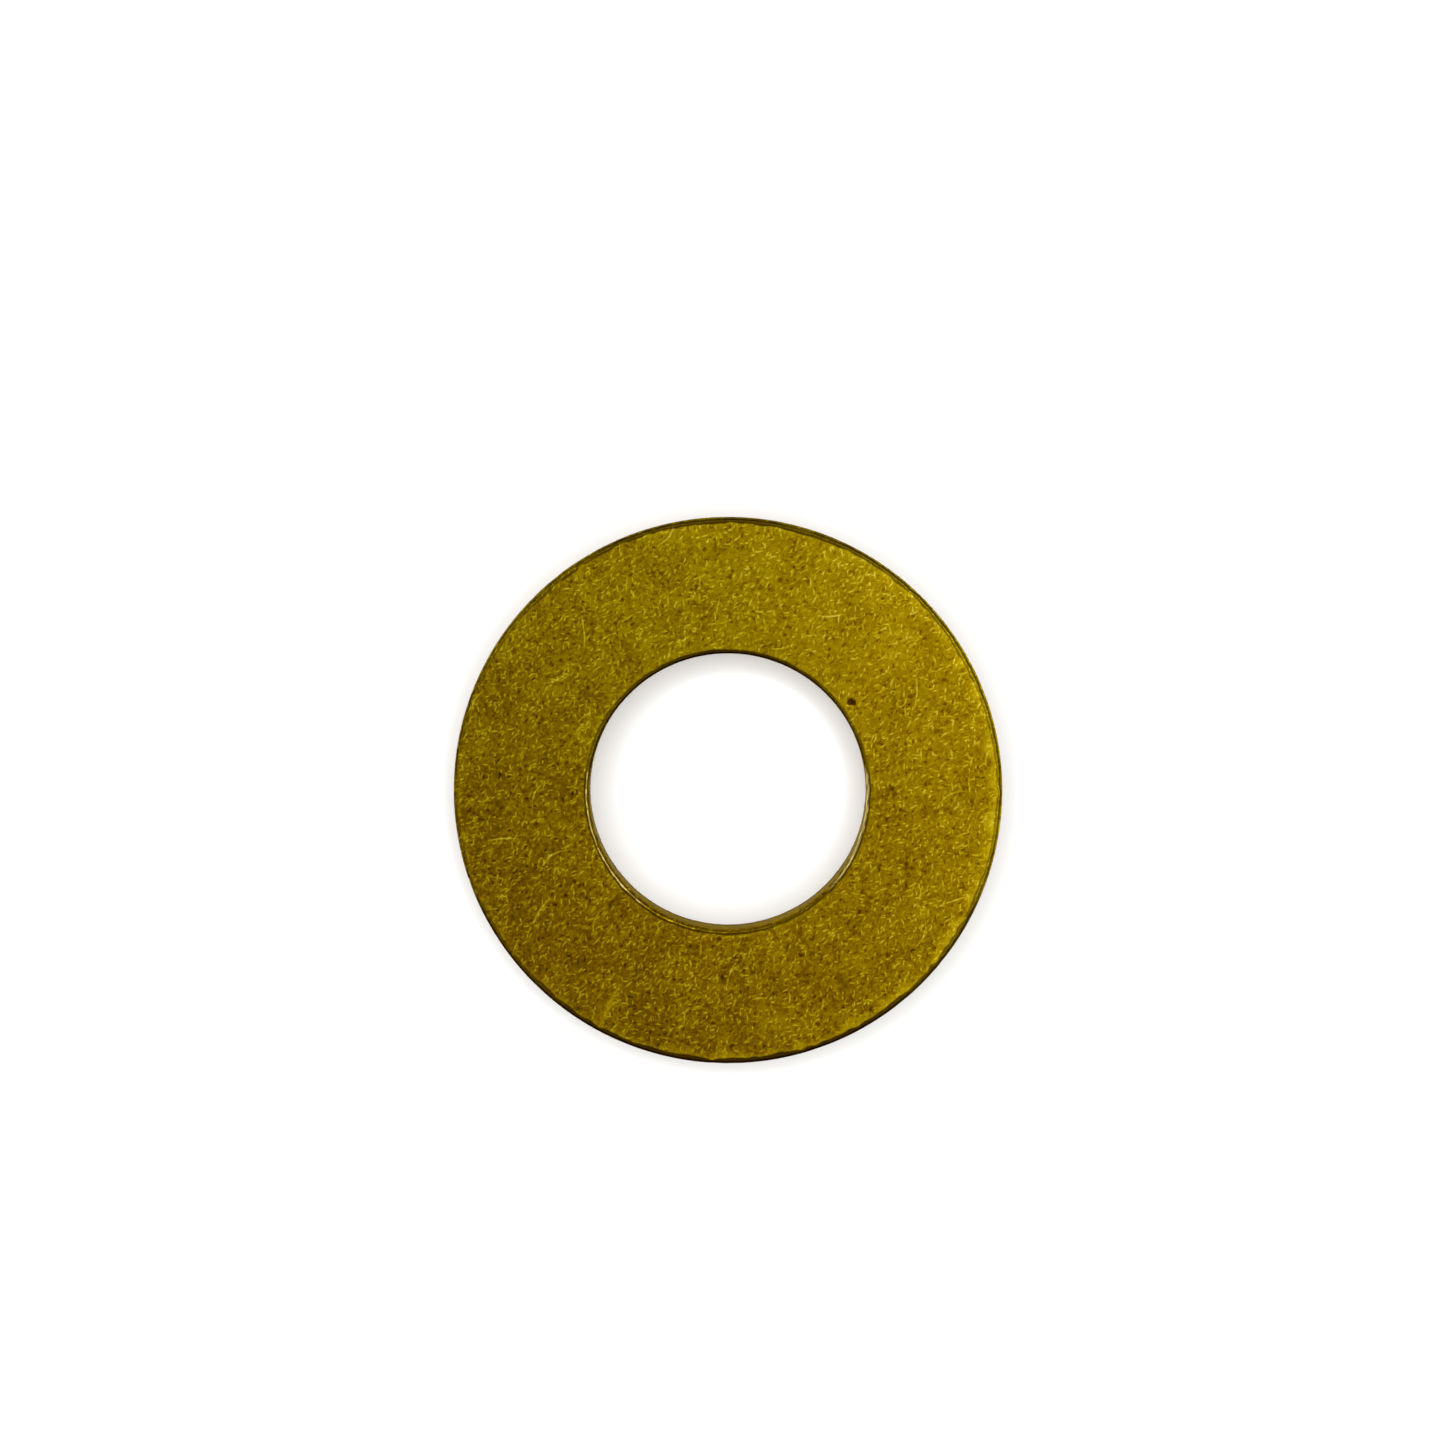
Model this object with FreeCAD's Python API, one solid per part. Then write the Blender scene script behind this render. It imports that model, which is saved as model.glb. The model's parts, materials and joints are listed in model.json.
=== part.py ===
import FreeCAD, Part
import math
import os

# A flat washer for an M10 bolt, blanked from sheet brass. One stroke of a compound die
# pierces the bore and cuts the rim, so both walls come out alike. From the upper face down,
# each wall has a rounded edge where the sheet was drawn into the die, an upright burnished
# land that has the washer's measured size, and a torn stretch that leans a little out of
# size. Tumbling afterwards rounds the two lower corners, where the burr was.
#
# The origin is at the centre of the lower bearing face. +Z runs along the bore, towards the
# face with the rounded edges. All lengths are in millimetres.

# Sizes of the washer.
BORE_DIAMETER = 10.55
RIM_DIAMETER = 20.90
THICKNESS = 2.00

# Marks of the die on both walls.
BORE_ROLL_RADIUS = 0.16   # rounded edge between the bore and the upper face
RIM_ROLL_RADIUS = 0.20    # rounded edge between the rim and the upper face
TORN_HEIGHT = 0.85        # height of the torn stretch above the lower face
TORN_SETBACK = 0.05       # how far the torn stretch leans away from the burnished land
TUMBLED_CORNER_RADIUS = 0.08

BORE_RADIUS = BORE_DIAMETER / 2
RIM_RADIUS = RIM_DIAMETER / 2
MID_RADIUS = (BORE_RADIUS + RIM_RADIUS) / 2

CENTRE = FreeCAD.Vector(0, 0, 0)
BORE_AXIS = FreeCAD.Vector(0, 0, 1)
SAME_HEIGHT = 1e-6


def sharp_section():
    """The face that the ring is turned from: its cross section with sharp corners."""
    corners = [
        (BORE_RADIUS + TORN_SETBACK, 0),
        (RIM_RADIUS - TORN_SETBACK, 0),
        (RIM_RADIUS, TORN_HEIGHT),
        (RIM_RADIUS, THICKNESS),
        (BORE_RADIUS, THICKNESS),
        (BORE_RADIUS, TORN_HEIGHT),
    ]
    points = [FreeCAD.Vector(radius, 0, height) for radius, height in corners]
    return Part.Face(Part.makePolygon(points + points[:1]))


def circles_at(solid, height):
    """The round edges of the solid at this height: those of the bore, then those of the rim."""
    circles = [
        edge
        for edge in solid.Edges
        if isinstance(edge.Curve, Part.Circle)
        and abs(edge.Curve.Center.z - height) < SAME_HEIGHT
    ]
    bore = [edge for edge in circles if edge.Curve.Radius < MID_RADIUS]
    rim = [edge for edge in circles if edge.Curve.Radius > MID_RADIUS]
    return bore, rim


def make_washer():
    """The finished washer as one solid."""
    ring = sharp_section().revolve(CENTRE, BORE_AXIS, 360)
    bore_edges, _ = circles_at(ring, THICKNESS)
    ring = ring.makeFillet(BORE_ROLL_RADIUS, bore_edges)
    _, rim_edges = circles_at(ring, THICKNESS)
    ring = ring.makeFillet(RIM_ROLL_RADIUS, rim_edges)
    lower_bore_edges, lower_rim_edges = circles_at(ring, 0)
    ring = ring.makeFillet(TUMBLED_CORNER_RADIUS, lower_bore_edges + lower_rim_edges)
    return ring.Solids[0]


def report(name, solid):
    """Prints the measures that show the solid is sound."""
    box = solid.optimalBoundingBox()
    plain_volume = math.pi * (RIM_RADIUS**2 - BORE_RADIUS**2) * THICKNESS
    bore_land = THICKNESS - BORE_ROLL_RADIUS - TORN_HEIGHT
    rim_land = THICKNESS - RIM_ROLL_RADIUS - TORN_HEIGHT
    print(f"{name}: {solid.ShapeType}, valid {solid.isValid()}, {len(solid.Faces)} faces")
    print(f"  box {box.XLength:.3f} x {box.YLength:.3f} x {box.ZLength:.3f} mm")
    print(f"  volume {solid.Volume:.2f} mm3, {solid.Volume / plain_volume:.4f} of a plain ring")
    print(f"  burnished land {bore_land:.2f} mm high in the bore, {rim_land:.2f} mm on the rim")


os.makedirs("parts", exist_ok=True)
washer = make_washer()
washer.exportStep("parts/washer.step")
report("washer", washer)
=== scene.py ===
# %% [markdown]
# # A flat brass washer, aged to olive gold
#
# A washer looks like the simplest thing in the workshop: a ring. What makes a real one
# look real is how it was made. A compound die cuts the bore and the rim in one stroke.
# The sheet bends into the die before it shears, so both edges of the upper face are
# softly rolled. The shear then leaves two bands on each wall: a smooth burnished land,
# and below it a grainy torn stretch that leans a little out of size. A tumbling barrel
# full of small parts takes the burr off the lower corners and covers every face with
# short, bright scuffs. Years in a drawer then turn the yellow metal olive and brown.
#
# This lesson follows the same order: the blank, its edges, its dings, its scuffs and its
# tarnish, and at the end the light.

import json
import math

import bpy
import numpy as np
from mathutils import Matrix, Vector, noise


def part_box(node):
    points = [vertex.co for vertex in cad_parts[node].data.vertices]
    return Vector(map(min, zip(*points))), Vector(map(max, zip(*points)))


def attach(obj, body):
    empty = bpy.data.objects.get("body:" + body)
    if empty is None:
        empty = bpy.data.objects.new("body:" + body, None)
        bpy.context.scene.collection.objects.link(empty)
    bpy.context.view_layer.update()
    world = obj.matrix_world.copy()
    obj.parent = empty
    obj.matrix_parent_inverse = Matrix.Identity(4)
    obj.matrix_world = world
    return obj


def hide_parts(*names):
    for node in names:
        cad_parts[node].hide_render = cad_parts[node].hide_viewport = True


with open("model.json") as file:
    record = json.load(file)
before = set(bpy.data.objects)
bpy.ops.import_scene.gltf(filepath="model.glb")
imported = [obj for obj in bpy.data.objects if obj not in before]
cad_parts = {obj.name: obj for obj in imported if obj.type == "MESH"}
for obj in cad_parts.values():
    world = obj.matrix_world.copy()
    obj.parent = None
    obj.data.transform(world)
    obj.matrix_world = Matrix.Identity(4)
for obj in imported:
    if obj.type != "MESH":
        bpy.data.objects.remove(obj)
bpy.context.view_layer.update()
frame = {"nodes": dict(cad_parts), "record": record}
print("nodes in the frame:", sorted(frame["nodes"]))

# %% [markdown]
# ## Sizes
#
# The three sizes that matter, bore, rim and thickness, belong to the design, so they are
# read from the frame and never typed in here. What the die and the barrel add is far
# smaller, a tenth or two of a millimetre, and those sizes are named one by one.

# %% Sizes of the washer
MM = 0.001
_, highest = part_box("washer")
RIM_RADIUS = highest.x
THICKNESS = highest.z
BORE_RADIUS = next(
    mount["dims"]["r_mm"] * MM
    for mount in frame["record"]["mounts"]
    if mount["kind"] == "bore"
)
print(f"bore {2 * BORE_RADIUS / MM:.2f} mm, rim {2 * RIM_RADIUS / MM:.2f} mm,"
      f" {THICKNESS / MM:.2f} mm thick")

# %% Marks of the die and the barrel
RIM_ROLL = 0.20 * MM        # width and depth of the rolled edge at the rim
BORE_ROLL = 0.16 * MM       # and of the one at the bore
TORN_HEIGHT = 0.85 * MM     # top of the torn stretch, above the lower face
TORN_LEAN = 0.05 * MM       # how far the torn stretch leans out of size
LOWER_CORNER = 0.08 * MM    # radius of the tumbled lower corners

# %% [markdown]
# ## Wavy lines that close on themselves
#
# Nothing on a stamped part is perfectly even: the rolled edge is wider here and narrower
# there, and the line where the metal began to tear wanders up and down. A line that runs
# round a ring has to meet itself at the end. Adding up a few whole waves, each with a
# random height and a random start, always does. The seed makes it the same every time.

# %% A wavy line round the ring
AROUND = 640                # stations round the ring
angles = np.linspace(0, 2 * math.pi, AROUND, endpoint=False)


def wavy_line(seed, longest, shortest, softness):
    """A value from -1 to 1 at each station.

    longest and shortest are numbers of waves a turn. More softness weakens the short waves."""
    draw = np.random.default_rng(seed)
    line = np.zeros(AROUND)
    for waves in range(longest, shortest):
        height = draw.normal() / waves**softness
        line += height * np.cos(waves * angles + draw.uniform(0, 2 * math.pi))
    return line / np.abs(line).max()


# How uneven each line is, as a share of its size.
RIM_ROLL_UNEVEN = 0.30
BORE_ROLL_UNEVEN = 0.20
TEAR_UNEVEN = 0.13
rim_roll = RIM_ROLL * (1 + RIM_ROLL_UNEVEN * wavy_line(11, 2, 150, 0.45))
bore_roll = BORE_ROLL * (1 + BORE_ROLL_UNEVEN * wavy_line(12, 2, 100, 0.5))
rim_tear = TORN_HEIGHT * (1 + TEAR_UNEVEN * wavy_line(13, 3, 120, 0.5))
bore_tear = TORN_HEIGHT * (1 + TEAR_UNEVEN * wavy_line(14, 3, 90, 0.5))
print(f"the rolled rim is {rim_roll.min() / MM:.2f} to {rim_roll.max() / MM:.2f} mm wide")

# %% [markdown]
# ## The dip before the edge
#
# Beside the rolled edge the face isn't quite flat any more: the sheet was already
# starting to bend into the die, so the last third of a millimetre dips by a hundredth or
# two. Where the die was worn, the dip is deeper. It's far too small to see as a shape,
# but it turns the metal towards another part of the room, so it shows as a lighter fringe.

# %% How far the face dips beside its edges
DIP_REACH = 0.30 * MM
RIM_DIP = 0.014 * MM
BORE_DIP = 0.006 * MM
WORN_SIDE = math.radians(-35)   # the side where the die was worn
worn = 0.5 + 0.5 * np.cos(angles - WORN_SIDE)
rim_dip = RIM_DIP * (0.25 + worn**1.5) * (1 + 0.5 * wavy_line(15, 8, 70, 0.3))
bore_dip = BORE_DIP * (1 + 0.4 * wavy_line(16, 5, 40, 0.3))
print(f"the face dips {rim_dip.max() / MM:.3f} mm at the worn side of the rim")

# %% [markdown]
# ## The cross section, walked once round
#
# The ring is a cloth of quads: 640 stations round the bore, and at each station the same
# walk round the cross section. The walk starts low on the bore's wall, climbs it, rolls
# over onto the upper face, crosses to the rim, goes down the rim's wall and comes home
# along the lower face. Each ring of the walk holds a radius and a height for every
# station, so any of them can be wavy. Spinning one profile would be quicker, but it
# would come out perfectly round everywhere, and no stamped edge is.

# %% The legs of the walk
rings = []                  # each is a radius and a height at every station
band_of_ring = []           # what the strip of quads after each ring is
FACE, LAND, TORN = 0, 1, 2
TORN_STEPS = 9              # rings on each leg of the walk
LAND_STEPS = 8
ROLL_STEPS = 8
UPPER_STEPS = 72
CORNER_STEPS = 3
LOWER_STEPS = 22


def add_ring(radius, height, band):
    rings.append(np.broadcast_arrays(radius, height, angles)[:2])
    band_of_ring.append(band)


def straight(start, end, count, band):
    """A straight leg, up to its end but not including it. An end is (radius, height)."""
    for share in np.arange(count) / count:
        add_ring(*(a + (b - a) * share for a, b in zip(start, end)), band)


def rounded(wall, level, side, up, width, depth, count, climbing):
    """A quarter turn between a wall and a face.

    side is 1 at the rim and -1 at the bore, up is 1 at the upper face and -1 at the lower."""
    turns = np.arange(count) / count * math.pi / 2
    for turn in turns if climbing else math.pi / 2 - turns:
        radius = wall - side * width * (1 - math.cos(turn))
        height = level - up * depth * (1 - math.sin(turn))
        add_ring(radius, height, FACE)


# %% Up the bore's wall and over its rolled edge
bore_face_level = THICKNESS - bore_dip
bore_land_top = THICKNESS - BORE_ROLL
bore_foot = BORE_RADIUS + TORN_LEAN
straight((bore_foot, LOWER_CORNER), (BORE_RADIUS, bore_tear), TORN_STEPS, TORN)
straight((BORE_RADIUS, bore_tear), (BORE_RADIUS, bore_land_top), LAND_STEPS, LAND)
rounded(BORE_RADIUS, bore_face_level, -1, 1, bore_roll, bore_face_level - bore_land_top,
        ROLL_STEPS, climbing=True)

# %% Across the upper face
CROWDING = 0.6              # how strongly the rings crowd towards both edges
face_start = BORE_RADIUS + bore_roll
face_end = RIM_RADIUS - rim_roll
even = np.arange(UPPER_STEPS) / UPPER_STEPS
crowded = 0.5 - 0.5 * np.cos(math.pi * even)
for share in (1 - CROWDING) * even + CROWDING * crowded:
    radius = face_start + (face_end - face_start) * share
    dip = bore_dip * np.exp(-(radius - face_start) / DIP_REACH)
    dip = dip + rim_dip * np.exp(-(face_end - radius) / DIP_REACH)
    add_ring(radius, THICKNESS - dip, FACE)

# %% Over the rolled rim, down its wall and home along the lower face
rim_face_level = THICKNESS - rim_dip
rim_land_top = THICKNESS - RIM_ROLL
rim_foot = RIM_RADIUS - TORN_LEAN
rounded(RIM_RADIUS, rim_face_level, 1, 1, rim_roll, rim_face_level - rim_land_top,
        ROLL_STEPS, climbing=False)
straight((RIM_RADIUS, rim_land_top), (RIM_RADIUS, rim_tear), LAND_STEPS, LAND)
straight((RIM_RADIUS, rim_tear), (rim_foot, LOWER_CORNER), TORN_STEPS, TORN)
lower_start = len(rings)
rounded(rim_foot, 0, 1, -1, LOWER_CORNER, LOWER_CORNER, CORNER_STEPS, climbing=True)
straight((rim_foot - LOWER_CORNER, 0), (bore_foot + LOWER_CORNER, 0), LOWER_STEPS, FACE)
rounded(bore_foot, 0, -1, -1, LOWER_CORNER, LOWER_CORNER, CORNER_STEPS, climbing=False)

radii = np.array([ring[0] for ring in rings])
heights = np.array([ring[1] for ring in rings])
print(f"{len(rings)} rings of {AROUND} stations: {2 * radii.size} triangles")

# %% [markdown]
# ## Dings
#
# Parts that tumble together knock into each other. Each knock leaves a shallow dent with
# a soft shoulder, from 0.14 to 0.6 of a millimetre across. Sculpting hundreds of them by
# hand would take a day; here each dent picks a random place on the surface and pushes
# every nearby point inwards. The rolled edges get a few deeper nicks, because an edge
# takes the hardest knocks. One knock beside the bore went deep enough to leave a pit.

# %% Directions and places for the dents
places = np.stack([radii * np.cos(angles), radii * np.sin(angles), heights], axis=-1)
along = np.roll(places, -1, axis=0) - np.roll(places, 1, axis=0)
round_the_ring = np.roll(places, -1, axis=1) - np.roll(places, 1, axis=1)
outward = np.cross(along, round_the_ring)
outward /= np.linalg.norm(outward, axis=-1, keepdims=True)
step_sizes = np.linalg.norm(along, axis=-1) * np.linalg.norm(round_the_ring, axis=-1)
push = np.zeros(radii.shape)
SHOULDER = 0.6              # how high the metal round a dent is raised


def dent(centre, radius, depth):
    """Pushes the surface in by depth at the centre, with a low shoulder round the dent."""
    distance = np.linalg.norm(places - centre, axis=-1) / radius
    push[...] -= depth * (1 - SHOULDER * distance**2) * np.exp(-distance**2)


# %% Random knocks all over
KNOCKS = 520
KNOCK_RADII = 0.07, 0.30    # smallest and largest, in millimetres
KNOCK_DEPTHS = 0.008, 0.030     # as a share of the radius
draw = np.random.default_rng(21)
chances = (step_sizes / step_sizes.sum()).ravel()
for spot in draw.choice(places.size // 3, KNOCKS, p=chances):
    radius = draw.uniform(*KNOCK_RADII) * MM
    dent(places.reshape(-1, 3)[spot], radius, radius * draw.uniform(*KNOCK_DEPTHS))
print(f"{KNOCKS} knocks, the deepest {-push.min() / MM:.3f} mm")

# %% Nicks in the rolled edges, and the pit
def on_the_edge(radius, turn):
    """A point on a rolled edge, this far round."""
    return np.array([radius * math.cos(turn), radius * math.sin(turn), THICKNESS])


NICKS = ((RIM_RADIUS, 26), (BORE_RADIUS, 9))    # where, and how many
NICK_RADII = 0.10, 0.26     # smallest and largest, in millimetres
NICK_DEPTHS = 0.05, 0.12    # as a share of the radius
for radius, count in NICKS:
    for turn in draw.uniform(0, 2 * math.pi, count):
        size = draw.uniform(*NICK_RADII) * MM
        dent(on_the_edge(radius, turn), size, size * draw.uniform(*NICK_DEPTHS))

PIT_RADIUS = 0.14 * MM
PIT_DEPTH = 0.035 * MM
PIT_FROM_BORE = 0.52 * MM
PIT_TURN = math.radians(36)
pit = on_the_edge(BORE_RADIUS + PIT_FROM_BORE, PIT_TURN)
dent(pit, PIT_RADIUS, PIT_DEPTH)
print(f"with the nicks and the pit, the deepest mark is {-push.min() / MM:.3f} mm")

# %% [markdown]
# ## Grain of the torn metal
#
# The torn stretch broke instead of being cut, so it is coarse, with ridges that run up
# and down in the direction of the punch. The rest of the ring has only the faint
# unevenness of rolled sheet. Both come from noise: the torn ridges from noise that is
# stretched in height, so that it changes quickly round the wall and slowly up it.

# %% Torn ridges and uneven sheet
band = np.array(band_of_ring)
torn_share = (band == TORN).astype(float)[:, None] * np.ones(AROUND)
torn_share = (torn_share + np.roll(torn_share, 1, axis=0)) / 2
RIDGE = 0.16 * MM           # width of a torn ridge
RIDGE_STRETCH = 0.35
RIDGE_HEIGHT = 0.022 * MM
SHEET_WAVE = 1.3 * MM       # width of the sheet's own waves
SHEET_HEIGHT = 0.0020 * MM
ridges = np.zeros(push.shape)
waves = np.zeros(push.shape)
for index in np.ndindex(push.shape):
    x, y, z = places[index]
    waves[index] = noise.noise(Vector((x, y, z)) / SHEET_WAVE)
    if torn_share[index]:
        ridges[index] = noise.noise(Vector((x, y, z * RIDGE_STRETCH)) / RIDGE)
# The shifts of 1 and 0.5 move the surface inwards, so that the washer keeps its size.
push += SHEET_HEIGHT * (waves - 1) + RIDGE_HEIGHT * (ridges - 0.5) * torn_share
places = places + outward * push[..., None]
print(f"torn ridges up to {RIDGE_HEIGHT / MM * np.abs(ridges).max():.3f} mm")

# %% [markdown]
# ## Sewing the cloth
#
# Every place is joined to its neighbour round the ring and to its neighbour in the walk,
# and both directions close on themselves, so the mesh is watertight by its nature. Each
# strip of quads knows its band, and the band picks its finish: tumbled face, burnished
# land or torn metal.

# %% The mesh
walk = np.arange(len(rings))[:, None] * AROUND
station = np.arange(AROUND)[None, :]
next_walk, next_station = np.roll(walk, -1, axis=0), np.roll(station, -1, axis=1)
quads = np.stack(
    [walk + station, next_walk + station, next_walk + next_station, walk + next_station],
    axis=-1,
).reshape(-1, 4)
washer_mesh = bpy.data.meshes.new("brass_washer")
washer_mesh.from_pydata(places.reshape(-1, 3).tolist(), [], quads.tolist())
washer_mesh.polygons.foreach_set("material_index", np.repeat(band, AROUND))
washer_mesh.polygons.foreach_set("use_smooth", np.ones(len(quads), bool))
washer_mesh.validate()
washer = bpy.data.objects.new("brass_washer", washer_mesh)
bpy.context.scene.collection.objects.link(washer)
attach(washer, "root")
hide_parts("washer")
print(f"{len(washer_mesh.vertices)} points, {len(washer_mesh.polygons)} quads")

# %% [markdown]
# ## A skin to draw the finish on
#
# Scuffs lie in the surface, so their pattern needs flat coordinates that follow it. On
# the upper face that is simply x and y. At each edge the pattern goes on outwards, or
# inwards, by the distance walked over the roll and down the wall, as if the wall were
# unrolled. No seam shows, because nothing jumps. The lower face is a sheet of its own,
# moved aside so that it doesn't repeat the upper one. The skin is in millimetres, kept at
# the quads' corners, because that is where two sheets can meet without blending.

# %% Unrolled radius of each ring
step_length = np.hypot(
    (np.roll(radii, -1, axis=0) - radii).mean(axis=1),
    (np.roll(heights, -1, axis=0) - heights).mean(axis=1),
)
face_first = TORN_STEPS + LAND_STEPS
face_last = face_first + ROLL_STEPS + UPPER_STEPS
unrolled = radii.mean(axis=1)
for ring in range(face_first + ROLL_STEPS - 1, -1, -1):
    unrolled[ring] = unrolled[ring + 1] - step_length[ring]
for ring in range(face_last + 1, lower_start + 1):
    unrolled[ring] = unrolled[ring - 1] + step_length[ring - 1]
lower_unrolled = radii.mean(axis=1)
LOWER_SHEET = 60 * MM       # how far aside the lower face's sheet lies

# %% The skin, corner by corner
def sheet_corner(ring, turn, on_lower):
    """Where the corners on this ring lie on the skin."""
    radius = np.where(on_lower, lower_unrolled[ring], unrolled[ring])
    x = radius * np.cos(turn) + np.where(on_lower, LOWER_SHEET, 0)
    return np.stack([x, radius * np.sin(turn), np.zeros(x.shape)], axis=-1) / MM


ring_number = np.arange(len(rings))[:, None]
next_ring = np.roll(ring_number, -1, axis=0)
this_turn, next_turn = angles[None, :], np.roll(angles, -1)[None, :]
lower = ring_number >= lower_start
skin = np.stack(
    [
        sheet_corner(ring_number, this_turn, lower),
        sheet_corner(next_ring, this_turn, lower),
        sheet_corner(next_ring, next_turn, lower),
        sheet_corner(ring_number, next_turn, lower),
    ],
    axis=2,
)
attribute = washer_mesh.attributes.new("skin", "FLOAT_VECTOR", "CORNER")
attribute.data.foreach_set("vector", skin.ravel().astype(np.float32))
print(f"the skin reaches {unrolled.max() / MM:.1f} mm from the bore's axis")

# %% [markdown]
# ## Where hands and other parts have rubbed, with painted highlights
#
# Rubbing brightens what stands proud: the last fringe of the face beside each rolled
# edge, widest on the side where the die was worn, with a few glints right on the edge.
# On that worn side, where the dipping face turns towards the light, the fringe is partly
# a painted highlight, and the glints are painted highlights. It is painted on the points
# as a plain number, which the finishes read. Edge wear is often guessed from the mesh's
# sharpness, but here its place is known, so painting it is simpler and steadier.

# %% Distances from the rolled edges
rim_gap = (face_end - radii) / MM       # inwards from the rim's roll, negative on it
bore_gap = (radii - face_start) / MM    # outwards from the bore's roll, negative on it
ring_index = np.arange(len(rings))
upper = (ring_index >= face_first) & (ring_index <= face_last + ROLL_STEPS)
upper = upper[:, None]
far, right = np.sin(angles), np.cos(angles)     # from -1 to 1 round the ring
across_ring = np.cos(2 * angles)                # 1 at the left and right, -1 near and far


def ramp(value, start, width):
    """0 up to the start, then rising to 1 over this width."""
    return np.clip((value - start) / width, 0, 1)


def bump_at(gap, middle, width):
    """1 in the middle of a narrow band and fading away on both sides."""
    return np.exp(-(((gap - middle) / width) ** 2))


# %% Rubbed fringes, partly painted highlights, and painted glints
RIM_FRINGE = 0.04           # width in millimetres where the die was sharp
WORN_FRINGE = 0.38          # and what is added where it was worn
BORE_FRINGE = 0.12
BORE_RUBBED = 0.35          # how strongly the fringe at the bore is rubbed


def fringe(gap, width, softness):
    """Full beside the edge and fading out at this width, all in millimetres."""
    return 1 / (1 + np.exp((gap - width) / softness))


patchy = np.clip(0.5 + 0.9 * wavy_line(17, 5, 70, 0.15), 0, None)
rim_wear_and_highlight_width = RIM_FRINGE + WORN_FRINGE * worn**1.5 * patchy
# Stronger on the worn side, where it is partly a painted highlight.
rim_wear_and_highlight = fringe(rim_gap, rim_wear_and_highlight_width, 0.045) * (0.35 + 0.65 * worn)
bore_fringe_width = BORE_FRINGE * (1 + 0.6 * wavy_line(18, 4, 40, 0.2))
bore_fringe = BORE_RUBBED * fringe(bore_gap, bore_fringe_width, 0.04)
# Glints on the rim's edge are painted highlights.
glints = np.clip(1.5 * wavy_line(19, 12, 150, 0.1) - 0.1, 0, 1) * bump_at(rim_gap, 0.03, 0.04)
rubbed_and_highlight = np.clip(np.maximum(rim_wear_and_highlight, bore_fringe) + glints, 0, 1.6) * upper

# %% [markdown]
# ## The rolled edges stay dark: tarnish and painted shade
#
# The rolled edges fall away from the face, so little rubs them and they keep their dark
# brown tarnish. The dark painted on them is also painted shade, so that they mirror the
# glowing ring only faintly. It begins near where the flat face ends, with a wavy border,
# and it is thinnest at the left and right. Two stretches are left without it, so that
# they show their real reflection: the outer part of the rim's roll, except on the near
# side, and the inner part of the bore's roll on the near side. There the bore's roll also
# has a thin bright line, a painted highlight, clear at the right and faint at the left.
# A mask of hollows would miss a bend that stands free, so the dark is painted from its
# distance to the flat face.

# %% Dark rolled edges: tarnish and painted shade
near_side = ramp(-far, -0.20, 0.10)
rim_shade = np.clip(0.87 - 0.16 * across_ring - 0.06 * far, 0, 1)
bore_shade = np.clip(0.78 + 0.14 * far - 0.08 * across_ring + 0.22 * near_side, 0, 1)

# Where the dark begins, in millimetres past the end of the flat face, negative on it.
rim_start = -0.010 - 0.045 * worn - 0.045 * np.clip(far, 0, 1)
rim_start = rim_start + 0.035 * wavy_line(20, 10, 150, 0.2)
bore_start = -0.045 + 0.012 * far + 0.02 * right
bore_start = bore_start + 0.015 * wavy_line(22, 6, 120, 0.2)

# Where the painted shade is lifted, so the roll shows its real reflection.
rim_outer = ramp(far, -0.44, 0.10) * (0.75 + 0.25 * across_ring) * ramp(-rim_gap, 0.10, 0.05)
bore_inner = 0.85 * near_side * ramp(-bore_gap, 0.045 + 0.03 * right, 0.04)
rolled_tarnish_and_shade = np.maximum(
    rim_shade * ramp(-rim_gap, rim_start, 0.035) * (1 - rim_outer),
    bore_shade * ramp(-bore_gap, bore_start, 0.04) * (1 - bore_inner),
) * upper

# %% The painted highlight in the bore's roll
GLINT_GAP = -0.09            # where it runs, as a bore_gap
GLINT_WIDTH = 0.024
# A painted highlight: a thin bright line in the bore's roll on the near side, clear at the right
# and faint at the left.
bore_glint_line = near_side * ramp(np.abs(right), 0.62 + 0.10 * right, 0.20)
bore_glint_line = bore_glint_line * (0.60 + 0.45 * right + 0.30 * wavy_line(23, 10, 150, 0.1))
painted_glint = np.clip(bore_glint_line * bump_at(bore_gap, GLINT_GAP - 0.03 * right, GLINT_WIDTH), 0, 1) * upper

# %% [markdown]
# ## Dirt, painted shade, tarnish and one long rub
#
# Dirt stays in the deepest dings. The pit is darkened as painted shade, all but its near
# slope, so that the dark lies in it as a crescent. A noise mask wouldn't know where the
# dings are, but the depth that was pushed into each point does. Tarnish isn't even
# either: the far left side has a greener tinge, and the face is darker towards the near
# left and lighter at the far right, partly tarnish and partly painted shade. A cosine
# round the ring gives each of them its soft place. Last comes one long rub near the rim.

# %% Painted shade in the pit, and dirt in the deepest dings
UNSHADED_SLOPE = 0.95 * PIT_RADIUS     # from the pit's middle to the middle of the slope left unshaded
UNSHADED_RADIUS = 0.75                 # of the slope left unshaded, next to the pit's
DEEP = 0.016                        # a ding deeper than this holds dirt, in millimetres
from_pit = np.linalg.norm(places - pit, axis=-1) / PIT_RADIUS
from_slope = np.linalg.norm(places - pit + np.array([0, UNSHADED_SLOPE, 0]), axis=-1) / PIT_RADIUS
dirt_and_shade = 1.9 * np.exp(-(from_pit**4)) - 2.4 * np.exp(-((from_slope / UNSHADED_RADIUS) ** 4))
dirt_and_shade = np.clip(dirt_and_shade, 0, 1) + ramp(-push / MM, DEEP, 1) * 20 * upper
dirt_and_shade = np.clip(dirt_and_shade, 0, 1)

# %% The darker, lighter and olive sides: tarnish and painted shade
DARKER_SIDE = math.radians(-140)
LIGHTER_SIDE = math.radians(50)
OLIVE_SIDE = math.radians(130)
middle_radius = (RIM_RADIUS + BORE_RADIUS) / 2
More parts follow.
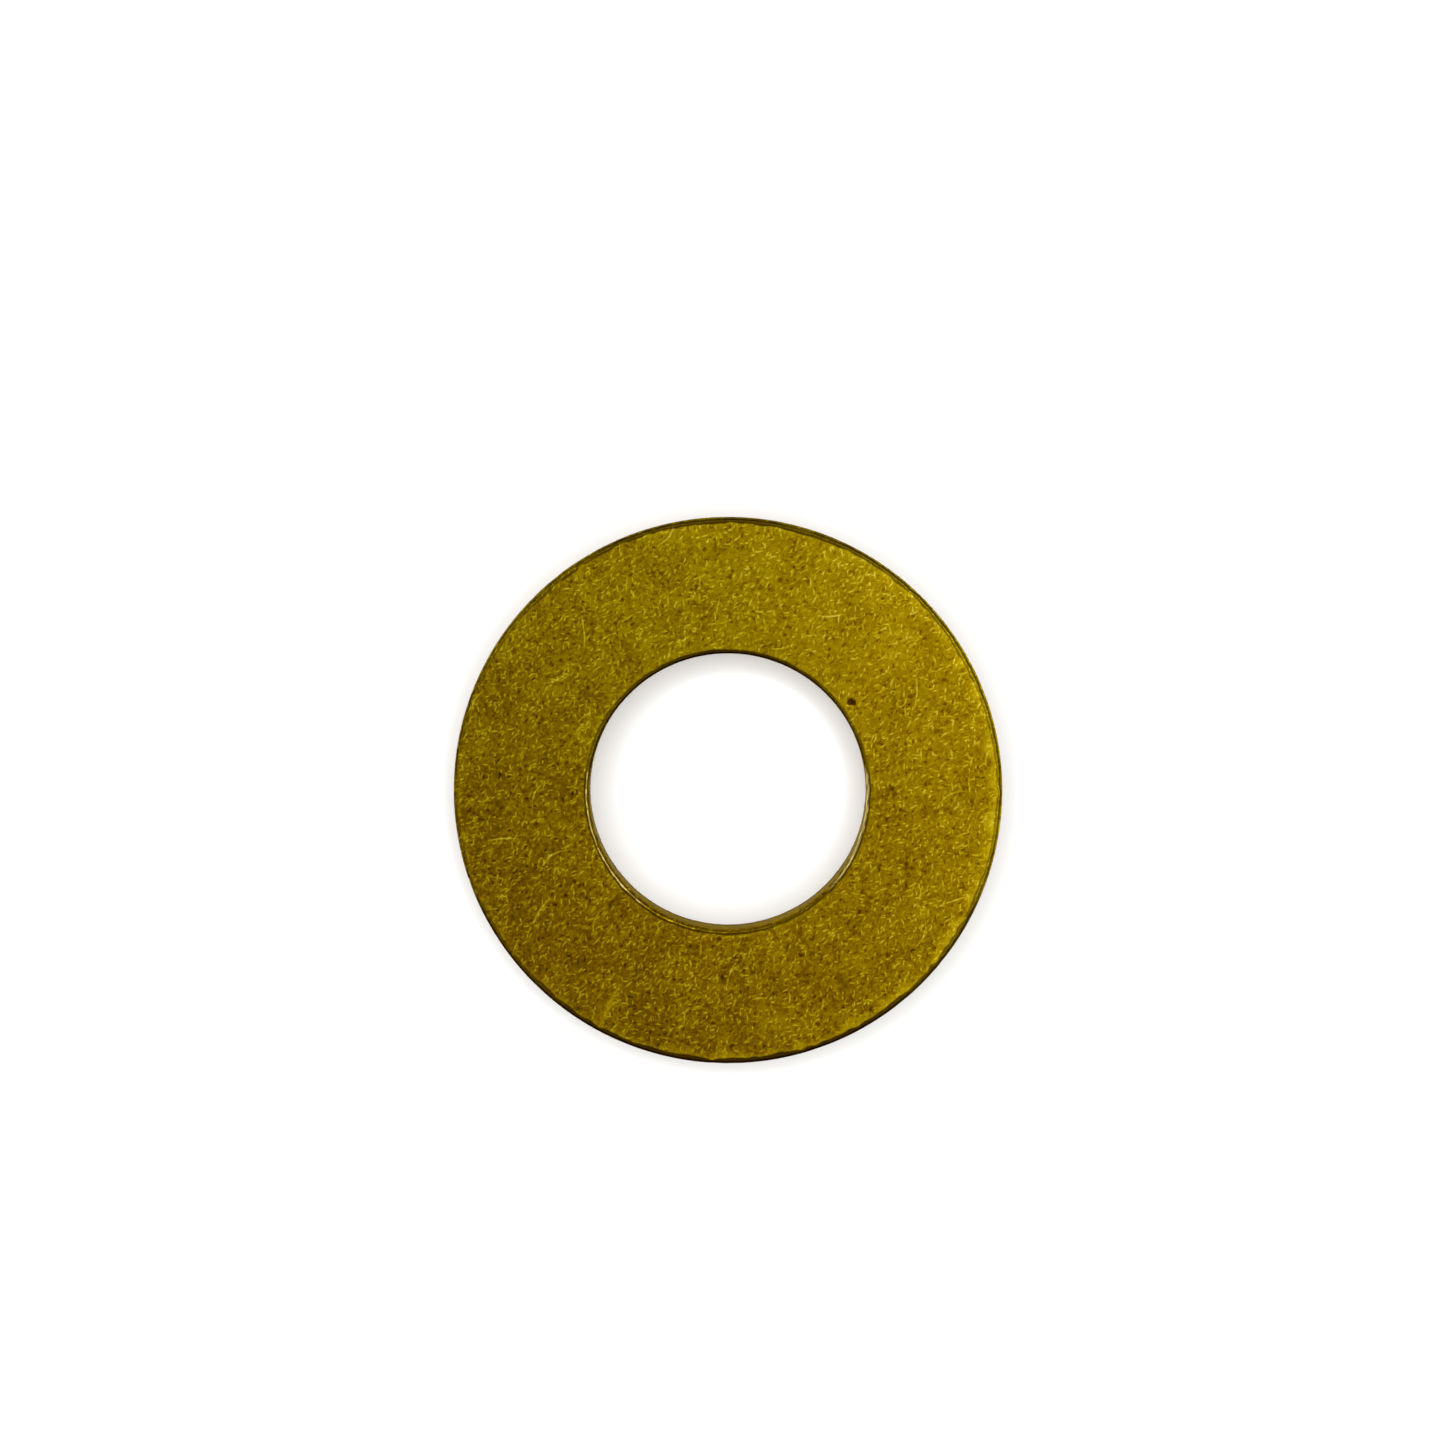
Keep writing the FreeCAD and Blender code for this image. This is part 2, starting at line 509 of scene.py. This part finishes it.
# Darker towards the near left and lighter at the far right: partly tarnish, partly painted shade.
tarnish_and_shade = 0.5 + 0.5 * np.cos(angles - DARKER_SIDE) * radii / middle_radius
tarnish_and_shade = tarnish_and_shade - 0.30 * np.clip(np.cos(angles - LIGHTER_SIDE), 0, 1) ** 12
olive = np.clip(np.cos(angles - OLIVE_SIDE), 0, 1) * np.ones(radii.shape)

# %% One long rub
RUB_TURN = math.radians(-119)
RUB_RADIUS = 0.90 * RIM_RADIUS
RUB_DIRECTION = math.radians(65)
RUB_LENGTH = 0.80 * MM
RUB_WIDTH = 0.09 * MM
RUB_STRENGTH = 1.5
rub = places - np.array([math.cos(RUB_TURN), math.sin(RUB_TURN), 0]) * RUB_RADIUS
rub_along = rub[..., 0] * math.cos(RUB_DIRECTION) + rub[..., 1] * math.sin(RUB_DIRECTION)
rub_across = rub[..., 1] * math.cos(RUB_DIRECTION) - rub[..., 0] * math.sin(RUB_DIRECTION)
rub_share = np.exp(-((rub_along / RUB_LENGTH) ** 2) - (rub_across / RUB_WIDTH) ** 2)
rubbed_and_highlight = rubbed_and_highlight + RUB_STRENGTH * rub_share * upper


# %% Painting
def paint(name, values):
    """Puts one number on every point, for a finish to read by this name."""
    attribute = washer_mesh.attributes.new(name, "FLOAT", "POINT")
    attribute.data.foreach_set("value", values.ravel().astype(np.float32))
    print(f"{name}: {values.mean():.3f} on average, {values.max():.2f} at most")


paint("rubbed_and_highlight", rubbed_and_highlight)
paint("tarnish_and_shade", tarnish_and_shade)
paint("rolled_tarnish_and_shade", rolled_tarnish_and_shade)
paint("painted_glint", painted_glint)
paint("olive", olive)
paint("dirt_and_shade", dirt_and_shade)

# %% [markdown]
# ## A small kit for wiring finishes
#
# A finish is a tree of nodes. Two helpers keep its code readable: one places a node and
# wires or sets its inputs, and one does a sum. Effects that several finishes share are
# node groups, so each has its own inputs and outputs and is built only once.

# %% Placing nodes
def place(tree, kind, inputs=None, **settings):
    """A new node. Each input is given a value, or the output that it is wired to."""
    node = tree.nodes.new(kind)
    for name, value in settings.items():
        setattr(node, name, value)
    for name, value in (inputs or {}).items():
        if isinstance(value, bpy.types.NodeSocket):
            tree.links.new(value, node.inputs[name])
        else:
            node.inputs[name].default_value = value
    return node


def calc(tree, operation, *values, clamp=False):
    """The result of a sum on numbers and outputs."""
    inputs = dict(enumerate(values))
    return place(tree, "ShaderNodeMath", inputs, operation=operation, use_clamp=clamp).outputs[0]


def read(tree, name, output="Fac"):
    """What is painted on the mesh under this name."""
    return place(tree, "ShaderNodeAttribute", attribute_name=name).outputs[output]


def new_group(name, inputs, outputs):
    """A node group, with its input node's and output node's places made."""
    group = bpy.data.node_groups.new(name, "ShaderNodeTree")
    for socket_name, value in inputs.items():
        kind = "NodeSocketVector" if value is None else "NodeSocketFloat"
        socket = group.interface.new_socket(socket_name, in_out="INPUT", socket_type=kind)
        if value is not None:
            socket.default_value = value
    for socket_name in outputs:
        group.interface.new_socket(socket_name, in_out="OUTPUT", socket_type="NodeSocketFloat")
    return group, place(group, "NodeGroupInput").outputs


def use(tree, group, inputs):
    """The group placed in a finish or in another group, with its own values."""
    return place(tree, "ShaderNodeGroup", inputs, node_tree=group).outputs


# %% [markdown]
# ## Scuffs
#
# A scuff is a short, slightly bent line, lighter than the metal round it, partly as bare
# metal and partly as a painted highlight. The plane is divided into irregular cells, each
# cell turns its own little coordinate system by a random angle, and the scuff is drawn in
# it as a narrow lens: full in the middle and fading along and across. The angles stay
# within sixty degrees of one direction, that of the scuffs which catch the light. One
# layer has one scuff a cell, so layers of different spacing are laid over each other.
# Cutting every scuff into the mesh would take millions of quads for the same look.

# %% The scuff group
scuffs, given = new_group(
    "tumbling_scuffs",
    {"Skin": None, "Spacing": 0.4, "Length": 0.2, "Width": 0.03, "Bend": 1.0, "Share": 0.7,
     "Layer": 0.0},
    ["Scuff"],
)
# Each layer is moved far aside, so that no two layers repeat each other.
shift = place(scuffs, "ShaderNodeCombineXYZ", {
    "X": calc(scuffs, "MULTIPLY", given["Layer"], 17.3),
    "Y": calc(scuffs, "MULTIPLY", given["Layer"], 9.1),
}).outputs[0]
spread = place(scuffs, "ShaderNodeVectorMath", {
    0: given["Skin"],
    "Scale": calc(scuffs, "DIVIDE", 1.0, given["Spacing"]),
}, operation="SCALE").outputs[0]
spread = place(scuffs, "ShaderNodeVectorMath", {0: spread, 1: shift}).outputs[0]
cells = place(scuffs, "ShaderNodeTexVoronoi", {"Vector": spread, "Scale": 1.0},
              voronoi_dimensions="2D").outputs
offset = place(scuffs, "ShaderNodeVectorMath", {0: spread, 1: cells["Position"]},
               operation="SUBTRACT").outputs[0]
chance = place(scuffs, "ShaderNodeSeparateColor", {"Color": cells["Color"]}).outputs
LIT_SCUFF_DIRECTION = math.radians(48)
SPREAD = math.radians(120)          # between the outermost directions of the scuffs
swing = calc(scuffs, "SUBTRACT", chance["Red"], 0.5)
turned = place(scuffs, "ShaderNodeVectorRotate", {
    "Vector": offset,
    "Angle": calc(scuffs, "MULTIPLY_ADD", swing, SPREAD, -LIT_SCUFF_DIRECTION),
}, rotation_type="Z_AXIS").outputs[0]
lens = place(scuffs, "ShaderNodeSeparateXYZ", {0: turned}).outputs
lengthwise = calc(scuffs, "MULTIPLY", lens["X"], given["Spacing"])
sideways = calc(scuffs, "MULTIPLY", lens["Y"], given["Spacing"])
bow = calc(scuffs, "MULTIPLY", calc(scuffs, "SUBTRACT", chance["Green"], 0.5), given["Bend"])
bow = calc(scuffs, "MULTIPLY", bow, calc(scuffs, "MULTIPLY", lengthwise, lengthwise))
sideways = calc(scuffs, "ABSOLUTE", calc(scuffs, "SUBTRACT", sideways, bow))
lengthwise = calc(scuffs, "ABSOLUTE", lengthwise)
across = calc(scuffs, "DIVIDE", sideways, given["Width"])
across = calc(scuffs, "SUBTRACT", 1.0, across, clamp=True)
along = calc(scuffs, "DIVIDE", lengthwise, given["Length"])
along = calc(scuffs, "SUBTRACT", 1.0, along, clamp=True)
# Some cells stay empty, most scuffs are faint, and a few are strong.
strength = calc(scuffs, "DIVIDE", chance["Blue"], given["Share"])
strength = calc(scuffs, "MULTIPLY", calc(scuffs, "SUBTRACT", 1.0, strength), 1.15, clamp=True)
strength = calc(scuffs, "POWER", strength, 1.4)
scuff = calc(scuffs, "MULTIPLY", across, calc(scuffs, "POWER", along, 0.5))
scuff = calc(scuffs, "MULTIPLY", scuff, strength)
place(scuffs, "NodeGroupOutput", {"Scuff": scuff})
print("scuff group:", len(scuffs.nodes), "nodes")

# %% [markdown]
# ## The worm grain
#
# Between the scuffs the metal isn't smooth either. Thousands of older marks have worn
# into each other and left a grain of tiny worm shapes, about a tenth of a millimetre
# wide. Noise that is bent by its own distortion has just that look. The same group gives
# the wide, soft patches of tarnish when its size is set to more than a millimetre.

# %% The grain group
grain, given = new_group(
    "worm_grain",
    {"Skin": None, "Size": 0.1, "Twist": 1.0, "Layer": 0.0},
    ["Grain"],
)
shift = place(grain, "ShaderNodeCombineXYZ", {
    "X": calc(grain, "MULTIPLY", given["Layer"], 31.7),
    "Y": calc(grain, "MULTIPLY", given["Layer"], 12.9),
}).outputs[0]
spread = place(grain, "ShaderNodeVectorMath", {0: given["Skin"], 1: shift}).outputs[0]
wormy = place(grain, "ShaderNodeTexNoise", {
    "Vector": spread,
    "Scale": calc(grain, "DIVIDE", 1.0, given["Size"]),
    "Detail": 2.0,
    "Roughness": 0.55,
    "Distortion": given["Twist"],
}, noise_dimensions="2D").outputs[0]
# Noise keeps near its middle value, so it is spread to fill about -1 to 1.
place(grain, "NodeGroupOutput", {
    "Grain": calc(grain, "MULTIPLY", calc(grain, "SUBTRACT", wormy, 0.5), 5.0),
})
print("grain group:", len(grain.nodes), "nodes")

# %% [markdown]
# ## How bright the metal is
#
# All marks add up to one number, the tone: low where brown tarnish has settled and where
# shade is painted, high where bare brass shines through and where highlights are painted.
# Light flecks in three sizes go in, partly painted highlights, dark spots in two, a few
# long hair lines and two sizes of grain, then the tarnish clouds and what was painted:
# rubbing with painted highlights, tarnish with painted shade, and dirt with painted
# shade. The finish turns this tone into a colour and a roughness, and the same marks make
# its relief, so light, gloss and relief agree.

# %% The tone group
tone, given = new_group(
    "aged_tone",
    {"Skin": None, "Level": 0.45, "Grain": 0.14, "Scuffs": 0.4, "Hairs": 0.5, "Clouds": 0.05,
     "Rubbed_and_highlight": 0.0, "Dirt_and_shade": 0.0, "Tarnish_and_shade": 0.0},
    ["Tone", "Height"],
)
FINE_SIZE, MIDDLE_SIZE, CLOUD_SIZE = 0.15, 0.42, 1.6     # in millimetres
skin_in = given["Skin"]
fine = use(tone, grain, {"Skin": skin_in, "Size": FINE_SIZE, "Twist": 0.8, "Layer": 1.0})[0]
middle = use(tone, grain, {"Skin": skin_in, "Size": MIDDLE_SIZE, "Twist": 0.8, "Layer": 2.0})[0]
cloud = use(tone, grain, {"Skin": skin_in, "Size": CLOUD_SIZE, "Twist": 0.6, "Layer": 3.0})[0]

# %% Kinds of scuffs
# Each row is the spacing, length and width in millimetres, and the share of cells filled.
# Light flecks are partly worn bare metal and partly painted highlights.
LIGHT_FLECKS = (
    (0.20, 0.085, 0.046, 0.80),
    (0.31, 0.135, 0.045, 0.80),
    (0.60, 0.210, 0.047, 0.70),
)
DARK_SPOTS = (
    (0.25, 0.100, 0.060, 0.80),
    (0.62, 0.130, 0.110, 0.45),
)
HAIR_LINES = (
    (2.50, 0.650, 0.044, 0.40),
)


def strongest(layers, bend, first_layer):
    """Several layers of scuffs laid over each other."""
    result = None
    for number, (spacing, length, width, share) in enumerate(layers):
        one = use(tone, scuffs, {"Skin": skin_in, "Spacing": spacing, "Length": length,
                                 "Width": width, "Bend": bend, "Share": share,
                                 "Layer": first_layer + number})[0]
        result = one if result is None else calc(tone, "MAXIMUM", result, one)
    return result


flecks_and_highlights = strongest(LIGHT_FLECKS, 2.2, 1.0)
spots = strongest(DARK_SPOTS, 3.0, 7.0)
hairs = strongest(HAIR_LINES, 1.3, 11.0)

# %% Adding the marks up
SPOT_WEIGHT = 0.50          # how dark the spots are, next to how light the flecks are
MIDDLE_WEIGHT = 0.4         # of the coarser grain, next to the fine one
SMOOTHED = 0.45             # how far rubbing wipes out the marks
RUBBED_AND_HIGHLIGHT_LIGHTER = 0.20
TARNISH_AND_SHADE_DARKER = 0.14
DIRT_AND_SHADE_DARKER = 1.0
GRAIN_RELIEF = 0.35         # how high the grain stands, next to the marks
marks = calc(tone, "SUBTRACT", flecks_and_highlights, calc(tone, "MULTIPLY", spots, SPOT_WEIGHT))
covered = calc(tone, "MULTIPLY_ADD", given["Rubbed_and_highlight"], -SMOOTHED, 1.0)
marks = calc(tone, "MULTIPLY", marks, covered)
grained = calc(tone, "MULTIPLY_ADD", middle, MIDDLE_WEIGHT, fine)
result = calc(tone, "MULTIPLY_ADD", grained, given["Grain"], given["Level"])
result = calc(tone, "MULTIPLY_ADD", marks, given["Scuffs"], result)
result = calc(tone, "MULTIPLY_ADD", hairs, given["Hairs"], result)
result = calc(tone, "MULTIPLY_ADD", cloud, given["Clouds"], result)
result = calc(tone, "MULTIPLY_ADD", given["Rubbed_and_highlight"], RUBBED_AND_HIGHLIGHT_LIGHTER, result)
result = calc(tone, "MULTIPLY_ADD", given["Tarnish_and_shade"], -TARNISH_AND_SHADE_DARKER, result)
result = calc(tone, "MULTIPLY_ADD", given["Dirt_and_shade"], -DIRT_AND_SHADE_DARKER, result, clamp=True)
relief = calc(tone, "MULTIPLY_ADD", fine, GRAIN_RELIEF, marks)
place(tone, "NodeGroupOutput", {"Tone": result, "Height": relief})
print("tone group:", len(tone.nodes), "nodes")

# %% [markdown]
# ## The finishes
#
# Brass is a metal through and through, so every finish is fully metallic and its colour
# is the colour of its reflection. Tarnish makes it darker and browner, and bare metal is
# yellow. The tumbled face carries all the marks, and on it the rolled edges take a dark
# brown of their own, tarnish and painted shade, and the bright line in the bore's roll a
# pale gold, a painted highlight. The burnished land was wiped smooth by the die, with
# fine lines up and down. The torn stretch is duller and coarser.

# %% From tone to colour
AGED_BRASS = (                  # tone and colour
    (0.00, (0.030, 0.012, 0.0002)),
    (0.25, (0.130, 0.065, 0.0004)),
    (0.50, (0.290, 0.187, 0.0009)),
    (0.75, (0.500, 0.366, 0.0060)),
    (1.00, (0.800, 0.650, 0.0900)),
)


def aged_colour(tree, value):
    """A ramp from brown tarnish to bare yellow brass."""
    node = place(tree, "ShaderNodeValToRGB", {"Fac": value})
    stops = node.color_ramp.elements
    while len(stops) < len(AGED_BRASS):
        stops.new(0.5)
    for stop, (position, colour) in zip(stops, AGED_BRASS):
        stop.position = position
        stop.color = (*colour, 1)
    return node.outputs["Color"]


def new_finish(name):
    """The node tree of a new material, which is the mesh's next one."""
    material = bpy.data.materials.new(name)
    material.use_nodes = True
    material.node_tree.nodes.clear()
    washer_mesh.materials.append(material)
    return material.node_tree


def brass_shader(tree, colour, roughness, height, distance, edge_tint):
    """Metal with this colour, gloss and relief. The distance is the relief's height in metres.

    The edge tint is the colour it takes where it is seen at a very low angle."""
    bump = place(tree, "ShaderNodeBump", {"Height": height, "Distance": distance, "Strength": 1.0})
    shader = place(tree, "ShaderNodeBsdfPrincipled", {
        "Base Color": colour,
        "Roughness": roughness,
        "Normal": bump.outputs[0],
        "Metallic": 1.0,
        "Specular Tint": (*edge_tint, 1),
    })
    place(tree, "ShaderNodeOutputMaterial", {"Surface": shader.outputs[0]})


# %% The tumbled face
face = new_finish("tumbled_face")
aged = use(face, tone, {
    "Skin": read(face, "skin", "Vector"),
    "Level": 0.41, "Grain": 0.10, "Scuffs": 0.58, "Hairs": 0.60, "Clouds": 0.05,
    "Rubbed_and_highlight": read(face, "rubbed_and_highlight"),
    "Tarnish_and_shade": read(face, "tarnish_and_shade"),
    "Dirt_and_shade": read(face, "dirt_and_shade"),
})
gloss = place(face, "ShaderNodeMapRange", {
    "Value": aged["Tone"], "From Min": 0.2, "From Max": 0.9, "To Min": 0.44, "To Max": 0.34,
}).outputs[0]
OLIVE_TINT = (0.97, 1.05, 1.0, 1.0)
# Dark of the rolled edges: tarnish and painted shade.
ROLLED_TARNISH_AND_SHADE_COLOUR = (0.026, 0.013, 0.0003, 1.0)
# Pale gold of the painted highlight in the bore's roll.
PAINTED_GLINT_COLOUR = (1.0, 0.88, 0.36, 1.0)
FACE_EDGE_TINT = (0.26, 0.17, 0.015)
FACE_RELIEF = 0.0016 * MM
face_colour = aged_colour(face, aged["Tone"])
for name, colour, blend in (
    ("olive", OLIVE_TINT, "MULTIPLY"),
    ("rolled_tarnish_and_shade", ROLLED_TARNISH_AND_SHADE_COLOUR, "MIX"),
    ("painted_glint", PAINTED_GLINT_COLOUR, "MIX"),
):
    face_colour = place(face, "ShaderNodeMix", {
        0: read(face, name), 6: face_colour, 7: colour,
    }, data_type="RGBA", blend_type=blend).outputs[2]
brass_shader(face, face_colour, gloss, aged["Height"], FACE_RELIEF, FACE_EDGE_TINT)

# %% The burnished land
LAND_EDGE_TINT = (0.42, 0.36, 0.04)
LAND_RELIEF = 0.004 * MM
LINE_STRETCH = 0.12         # under 1, so the lines run up and down the wall
land = new_finish("burnished_land")
lines_at = place(land, "ShaderNodeMapping", {
    "Vector": place(land, "ShaderNodeTexCoord").outputs["Object"],
    "Scale": (1 / MM, 1 / MM, LINE_STRETCH / MM),
}).outputs[0]
lines = place(land, "ShaderNodeTexNoise", {
    "Vector": lines_at, "Scale": 9.0, "Detail": 3.0,
}).outputs[0]
aged = use(land, tone, {
    "Skin": read(land, "skin", "Vector"),
    "Grain": 0.06, "Scuffs": 0.10, "Hairs": 0.0, "Clouds": 0.05,
})
land_tone = calc(land, "MULTIPLY_ADD", calc(land, "SUBTRACT", lines, 0.5), 0.7, aged["Tone"])
gloss = calc(land, "MULTIPLY_ADD", lines, 0.25, 0.20)
brass_shader(land, aged_colour(land, land_tone), gloss, lines, LAND_RELIEF, LAND_EDGE_TINT)

# %% The torn stretch
TORN_EDGE_TINT = (0.55, 0.52, 0.36)
TORN_RELIEF = 0.02 * MM
GRAIN_STRETCH = 0.5         # under 1, so the torn grain is a little longer than wide
torn = new_finish("torn_metal")
torn_at = place(torn, "ShaderNodeMapping", {
    "Vector": place(torn, "ShaderNodeTexCoord").outputs["Object"],
    "Scale": (1 / MM, 1 / MM, GRAIN_STRETCH / MM),
}).outputs[0]
coarse = place(torn, "ShaderNodeTexNoise", {
    "Vector": torn_at, "Scale": 11.0, "Detail": 4.0, "Roughness": 0.7,
}).outputs[0]
aged = use(torn, tone, {
    "Skin": read(torn, "skin", "Vector"),
    "Grain": 0.08, "Scuffs": 0.10, "Hairs": 0.0, "Clouds": 0.05,
})
torn_tone = calc(torn, "MULTIPLY_ADD", calc(torn, "SUBTRACT", coarse, 0.62), 0.9, aged["Tone"])
gloss = calc(torn, "MULTIPLY_ADD", coarse, 0.2, 0.48)
brass_shader(torn, aged_colour(torn, torn_tone), gloss, coarse, TORN_RELIEF, TORN_EDGE_TINT)
print("finishes:", [material.name for material in washer_mesh.materials])

# %% [markdown]
# ## The stage
#
# The washer lies on a sheet of white paper that is lit so strongly that it comes out
# blank white, except in the soft shadow close to the ring.

# %% Floor
FLOOR_SIDE = 0.5
floor_mesh = bpy.data.meshes.new("floor")
half = FLOOR_SIDE / 2
floor_corners = [(-half, -half, 0), (half, -half, 0), (half, half, 0), (-half, half, 0)]
floor_mesh.from_pydata(floor_corners, [], [(0, 1, 2, 3)])
floor = bpy.data.objects.new("floor", floor_mesh)
bpy.context.scene.collection.objects.link(floor)
paper = bpy.data.materials.new("white_paper")
paper.use_nodes = True
PAPER_WHITE = 0.89
shader = paper.node_tree.nodes["Principled BSDF"]
shader.inputs["Base Color"].default_value = (PAPER_WHITE, PAPER_WHITE, PAPER_WHITE, 1)
shader.inputs["Roughness"].default_value = 1.0
shader.inputs["Specular IOR Level"].default_value = 0.0
floor_mesh.materials.append(paper)
print(f"floor {FLOOR_SIDE} m square")

# %% [markdown]
# ## Light
#
# The washer stands in a light tent. The opening overhead, where the camera looks in, is
# dark, the white cloth round it glows in a narrow ring, and the cloth below the ring is
# nearly dark again. Metal shows what it mirrors: the flat face mirrors the dark opening
# and takes on a deep colour, and the rolled edges mirror the glowing ring and then the
# dark lower cloth. The ring is narrow, so that the shadow on the paper stays close to the
# washer. The opening lies a little towards the near left, so the ring comes closer to
# overhead at the far right, and that side of the face is brighter. The tent also glows
# more on its far side, where the window is. Lamps could do this too, but they would draw
# hard bright lines on every rounded edge. The camera itself sees plain white behind
# everything.

# %% The light tent
OPENING_LEANS = (math.radians(-5.5), math.radians(-5.5))    # to the left and to the near side
GLOW_TILT = math.radians(36)        # from the opening's centre to the brightest cloth
GLOW_WIDTH = math.radians(5.5)
GLOW = 10.1
DIM = 0.04
BRIGHT_SIDE = math.radians(75)      # the far side of the tent, where the window is
SIDE_SHARE = 0.54                   # how much brighter it is there, and dimmer opposite
world = bpy.data.worlds.new("light_tent")
bpy.context.scene.world = world
world.use_nodes = True
tent = world.node_tree
tent.nodes.clear()
opening = Vector((math.sin(OPENING_LEANS[0]), math.sin(OPENING_LEANS[1]), 1)).normalized()
leaning = place(tent, "ShaderNodeVectorMath", {
    0: place(tent, "ShaderNodeTexCoord").outputs["Generated"], 1: opening,
}, operation="DOT_PRODUCT").outputs["Value"]
away = calc(tent, "SUBTRACT", calc(tent, "ARCCOSINE", leaning), GLOW_TILT)
away = calc(tent, "DIVIDE", away, GLOW_WIDTH)
glow = calc(tent, "EXPONENT", calc(tent, "MULTIPLY", calc(tent, "MULTIPLY", away, away), -1.0))
side = (math.cos(BRIGHT_SIDE) * SIDE_SHARE, math.sin(BRIGHT_SIDE) * SIDE_SHARE, 0)
to_side = place(tent, "ShaderNodeVectorMath", {
    0: place(tent, "ShaderNodeTexCoord").outputs["Generated"], 1: side,
}, operation="DOT_PRODUCT").outputs["Value"]
glow = calc(tent, "MULTIPLY", glow, calc(tent, "ADD", to_side, 1.0))
glow = calc(tent, "MULTIPLY_ADD", glow, GLOW, DIM)
cloth = place(tent, "ShaderNodeBackground", {"Color": (1, 1, 1, 1), "Strength": glow}).outputs[0]
white = place(tent, "ShaderNodeBackground", {"Color": (1, 1, 1, 1), "Strength": 1.0}).outputs[0]
seen = place(tent, "ShaderNodeLightPath").outputs["Is Camera Ray"]
mixed = place(tent, "ShaderNodeMixShader", {0: seen, 1: cloth, 2: white}).outputs[0]
place(tent, "ShaderNodeOutputWorld", {"Surface": mixed})
bpy.context.scene.view_settings.view_transform = "Standard"
print(f"light tent: glow {GLOW}, dim {DIM}")

# %% [markdown]
# ## Camera
#
# The camera hangs eleven centimetres above the washer, a little towards the far side, and
# looks nearly straight down, so that a sliver of the bore's near wall shows.

# %% Camera
CAMERA_PLACE = Vector((0.555, 10.364, 111.430)) * MM
CAMERA_TILT = math.radians(-4.026)      # to the near side
CAMERA_SWING = math.radians(0.395)      # to the left
camera_data = bpy.data.cameras.new("camera")
camera_data.lens = 72
camera_data.sensor_width = 36
camera_data.clip_start = 0.01
camera = bpy.data.objects.new("camera", camera_data)
camera.location = CAMERA_PLACE
camera.rotation_mode = "YXZ"
camera.rotation_euler = (CAMERA_TILT, CAMERA_SWING, 0)
bpy.context.scene.collection.objects.link(camera)
bpy.context.scene.camera = camera
print("camera", tuple(round(part, 4) for part in camera.location))
